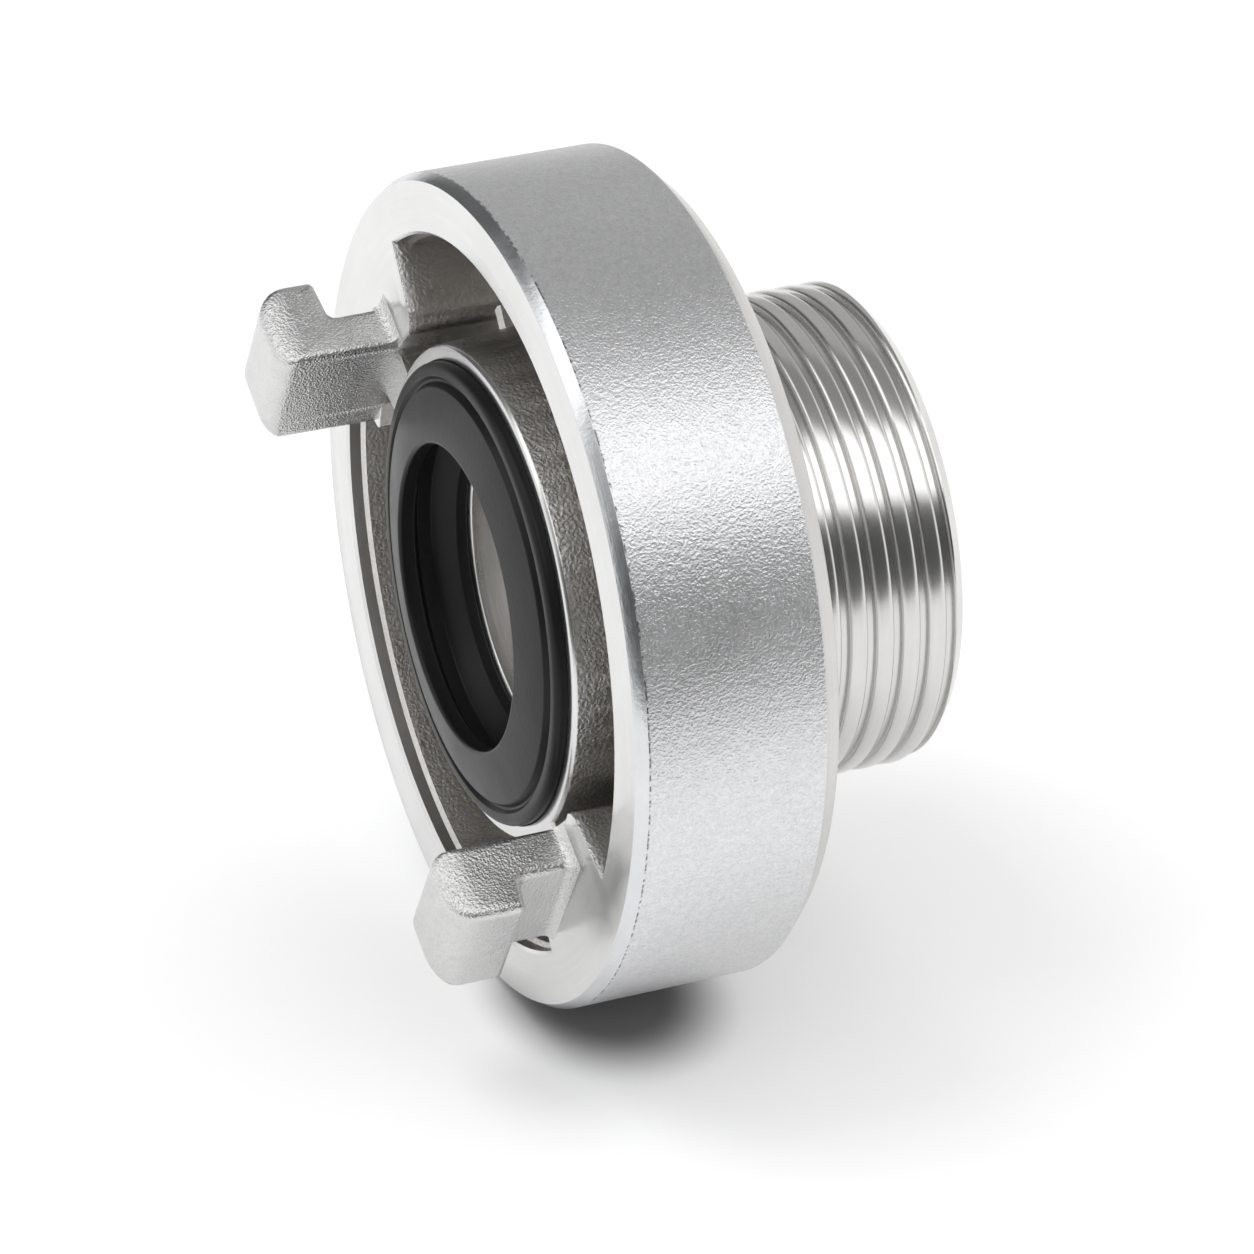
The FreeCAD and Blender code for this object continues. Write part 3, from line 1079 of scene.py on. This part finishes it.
@dataclass
class FaceSeal:
    """Moulded rubber ring in the hub's seat, with a raised lip round the waterway."""

    face: float = 51.1
    outer: float = 28.2
    bore: float = 18.65
    low: float = 44.7
    shoulder: float = 0.9
    groove_outer: float = 26.6
    groove_inner: float = 25.3
    groove_depth: float = 0.9
    crown: float = 1.2
    lip: float = 2.6
    lip_edge: float = 0.5
    chamber: float = 20.9
    chamber_top: float = 0.7
    chamber_low: float = 2.5
    chamber_end: float = 5.0
    segments: int = 192
    corner_steps: int = 5

    def section(self) -> list[Side]:
        """Closed section of the ring.

        Returns:
            The section's corners.
        """
        top, middle = self.face + self.shoulder, (self.groove_outer + self.groove_inner) / 2.0
        return [(*corner, Finish.BLASTED) for corner in (
            (self.bore, self.low, 0.2),
            (self.outer, self.low, 0.2),
            (self.outer, top, 0.9),
            (self.groove_outer, top, 0.15),
            (middle, top - self.groove_depth, 0.3),
            (self.groove_inner, self.face + self.crown, 0.3),
            (self.bore, self.face + self.lip, 0.45),
            (self.bore, self.face + self.lip_edge, 0.2),
            (self.chamber, self.face - self.chamber_top, 0.3),
            (self.chamber, self.face - self.chamber_low, 0.4),
            (self.bore, self.face - self.chamber_end, 0.2))]

    def build(self, material: bpy.types.Material) -> bpy.types.Object:
        """Makes the ring.

        Args:
            material: Finish of the ring.

        Returns:
            Its object.
        """
        mesh = lathe("face_seal", self.section(), self.segments, self.corner_steps)
        smooth(mesh, RING_CREASE)
        return link("face_seal", mesh, [material])


@dataclass(frozen=True)
class Card:
    """Curved card round the axis that only reflections show.

    Attributes:
        name: Object name.
        span: Directions of its two edges in degrees.
        heights: Lower and upper edge in millimetres.
        radius: Distance from the axis in millimetres.
        shade: Brightness that reflections show.
        steps: Flat pieces from edge to edge.
    """

    name: str
    span: Point2
    heights: Point2
    radius: float
    shade: float
    steps: int = 24

    def build(self) -> None:
        """Makes the card and its glow."""
        points = []
        first, last = self.span
        for step in range(self.steps + 1):
            x, y = polar(self.radius * MM, math.radians(first + (last - first) * step / self.steps))
            points += [(x, y, height * MM) for height in self.heights]
        faces = [(2 * step, 2 * step + 2, 2 * step + 3, 2 * step + 1) for step in range(self.steps)]
        mesh = bpy.data.meshes.new(self.name)
        mesh.from_pydata(points, [], faces)
        material, graph = new_material(self.name)
        glow = graph.add("ShaderNodeEmission", {"Color": rgb([self.shade] * 3), "Strength": 1.0})
        graph.add("ShaderNodeOutputMaterial", {"Surface": glow})
        made = link(self.name, mesh, [material])
        made.visible_camera = made.visible_diffuse = made.visible_shadow = False


CARDS = (
    Card("bright_card", (-106.0, -72.0), (-900.0, 300.0), 700.0, 1.8),
    Card("dark_card", (-149.0, -107.5), (-420.0, 430.0), 300.0, 0.08),
    Card("dark_upper_card", (-107.5, -101.0), (150.0, 430.0), 300.0, 0.12),
    Card("upper_side_card", (-102.0, -68.0), (350.0, 900.0), 700.0, 0.45),
    Card("window_card", (-66.0, -34.0), (200.0, 900.0), 700.0, 1.7),
    Card("top_card", (-68.0, -28.0), (-900.0, 200.0), 700.0, 0.30),
    Card("low_right_card", (-28.0, 35.0), (-900.0, 35.0), 700.0, 0.5),
    Card("high_right_card", (-28.0, 35.0), (35.0, 520.0), 700.0, 0.13),
)


@dataclass
class Studio:
    """White surroundings, one soft lamp, floor with a painted contact shadow, reflected cards and camera.

    Attributes:
        centre: Camera place in millimetres.
        right: Direction of the picture's right side.
        up: Direction of the picture's upper side.
        lens: Focal length in millimetres.
        sensor: Width of the camera's sensor in millimetres.
        fill: Strength of the surroundings as the object's diffuse light.
        ground: Direction away from the floor.
        ground_distance: Distance of the floor from the axis in millimetres.
        ground_reach: Half the floor's width in metres.
        ground_shade: Grey of the floor.
        ground_glow: Share of that grey, painted shadow included, that the floor gives off itself.
        contact: Place of the deepest painted shade on the floor, sideways and along the axis in millimetres.
        contact_reach: How far the painted shade reaches in both directions.
        contact_core: Share of that reach that is painted fully dark.
        contact_fade: Width of the fading rim, as a share of the reach.
        contact_light: Share of the floor's grey that is left in the painted shade.
        lamp_direction: Where the soft lamp hangs.
        lamp_distance: Its distance in metres.
        lamp_size: Its width in metres.
        lamp_power: Its power in watts.
        lamp_height: Height that it faces, in millimetres.
    """

    centre: Corner = (-256.71, -641.71, 282.59)
    right: Corner = (-0.2998, -0.2415, -0.9229)
    up: Corner = (0.8914, -0.4157, -0.1807)
    lens: float = 175.16
    sensor: float = 36.0
    fill: float = 0.95
    ground: Corner = (0.628, -0.778, 0.0)
    ground_distance: float = 50.9
    ground_reach: float = 3.0
    ground_shade: float = 0.9
    ground_glow: float = 0.15
    contact: Point2 = (-13.0, 40.0)
    contact_reach: Point2 = (20.5, 15.0)
    contact_core: float = 0.45
    contact_fade: float = 0.7
    contact_light: float = 0.15
    lamp_direction: Corner = (0.68, -0.63, 0.38)
    lamp_distance: float = 1.2
    lamp_size: float = 0.5
    lamp_power: float = 2.9
    lamp_height: float = 35.0

    def camera(self) -> None:
        """Places the camera as in the photograph."""
        data = bpy.data.cameras.new("camera")
        data.lens = self.lens
        data.sensor_width = self.sensor
        data.clip_start = 0.01
        right, up = Vector(self.right).normalized(), Vector(self.up)
        back = right.cross(up).normalized()
        up = back.cross(right)
        turned = Matrix((right, up, back)).transposed().to_4x4()
        turned.translation = Vector(self.centre) * MM
        made = link("camera", data)
        made.matrix_world = turned
        bpy.context.scene.camera = made

    def world(self) -> None:
        """White surroundings that light the object at a plain level."""
        world = bpy.data.worlds.new("studio")
        bpy.context.scene.world = world
        graph = emptied(world)
        path = graph.add("ShaderNodeLightPath").socket.node
        camera, glossy, through = (Wire(graph, path.outputs["Is %s Ray" % kind])
                                   for kind in ("Camera", "Glossy", "Transmission"))
        seen = (camera + glossy + through).clamped()
        light = graph.add("ShaderNodeBackground", {
            "Color": (1.0, 1.0, 1.0, 1.0), "Strength": seen * (1.0 - self.fill) + self.fill})
        graph.add("ShaderNodeOutputWorld", {"Surface": light})

    def painted_floor_shadow(self, graph: Graph, side: Vector) -> Wire:
        """Grey of the floor with a soft contact shadow painted into it.

        Args:
            graph: The floor material's graph.
            side: Direction along the floor and across the axis.

        Returns:
            The colour.
        """
        place = graph.add("ShaderNodeTexCoord", None, "Object")
        x, y, z = graph.split(place)
        # painted shadow: the floor's grey darkens in a soft ellipse near where the ring rests on the floor
        off_side = (x * side.x + y * side.y - self.contact[0] * MM) / (self.contact_reach[0] * MM)
        off_rise = (z - self.contact[1] * MM) / (self.contact_reach[1] * MM)
        away = (off_side * off_side + off_rise * off_rise).maths("SQRT")
        lit = ((away - self.contact_core) / self.contact_fade).clamped()
        lit = lit * lit * (3.0 - lit * 2.0)
        return graph.mix(lit, rgb([self.ground_shade * self.contact_light] * 3), rgb([self.ground_shade] * 3))

    def floor(self) -> None:
        """Pale ground that keeps the cast shadow and a painted contact shadow, seen from above only."""
        normal = Vector(self.ground).normalized()
        along = Vector((0.0, 0.0, 1.0))
        side = along.cross(normal).normalized()
        middle = -normal * self.ground_distance * MM
        corners = [middle + (side * a + along * b) * self.ground_reach
                   for a, b in ((-1, -1), (1, -1), (1, 1), (-1, 1))]
        mesh = bpy.data.meshes.new("floor")
        mesh.from_pydata(corners, [], [(0, 1, 2, 3)])
        material, graph = new_material("pale_floor")
        # the floor's matte colour and its glow both carry the painted contact shadow
        shade = self.painted_floor_shadow(graph, side)
        matte = graph.add("ShaderNodeBsdfDiffuse", {"Color": shade})
        glow = graph.add("ShaderNodeEmission", {"Color": shade, "Strength": self.ground_glow})
        both = graph.add("ShaderNodeAddShader", {0: matte, 1: glow})
        clear = graph.add("ShaderNodeBsdfTransparent")
        behind = graph.add("ShaderNodeNewGeometry", None, "Backfacing")
        graph.add("ShaderNodeOutputMaterial", {
            "Surface": graph.add("ShaderNodeMixShader", {0: behind, 1: both, 2: clear})})
        link("floor", mesh, [material])

    def lamp(self) -> None:
        """Square soft lamp that faces the coupling and isn't reflected by it."""
        data = bpy.data.lights.new("key", "AREA")
        data.size = self.lamp_size
        data.energy = self.lamp_power
        made = link("key", data)
        away = Vector(self.lamp_direction).normalized()
        middle = Vector((0.0, 0.0, self.lamp_height * MM))
        turned = away.to_track_quat("Z", "Y").to_matrix().to_4x4()
        made.matrix_world = Matrix.Translation(middle + away * self.lamp_distance) @ turned
        made.visible_glossy = False

    def build(self) -> None:
        """Sets up the whole studio."""
        self.world()
        self.floor()
        for card in CARDS:
            card.build()
        self.lamp()
        self.camera()


def finish_piece(piece: bpy.types.Object, node: str) -> None:
    """Lets a piece stand for its node and ride on the coupling.

    Args:
        piece: The piece's object.
        node: Name of the node that it stands for.
    """
    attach(piece, "root")
    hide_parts(node)
    LOG.info("%s: %d faces", piece.name, len(piece.data.polygons))


def main() -> None:
    """Builds the coupling and its studio in order."""
    scene = bpy.context.scene
    scene.view_settings.view_transform = "Standard"
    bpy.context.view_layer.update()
    materials = [FINISHES[finish].build() for finish in Finish]
    shell = Shell().build(materials)
    Bridge().join(shell)
    for claw in (Claw(side=1.0, shift=1.4, tip=43.4, height=15.2), Claw(side=-1.0, shift=9.4)):
        claw.join(shell)
    smooth(shell.data, SHELL_CREASE)
    finish_piece(shell, "body")
    thread = PipeThread().build(materials[Finish.THREAD.value])
    smooth(thread.data, RING_CREASE)
    finish_piece(thread, "body")
    finish_piece(FaceSeal().build(RUBBER.build()), "seal")
    Studio().build()


if __name__ == "__main__":
    main()
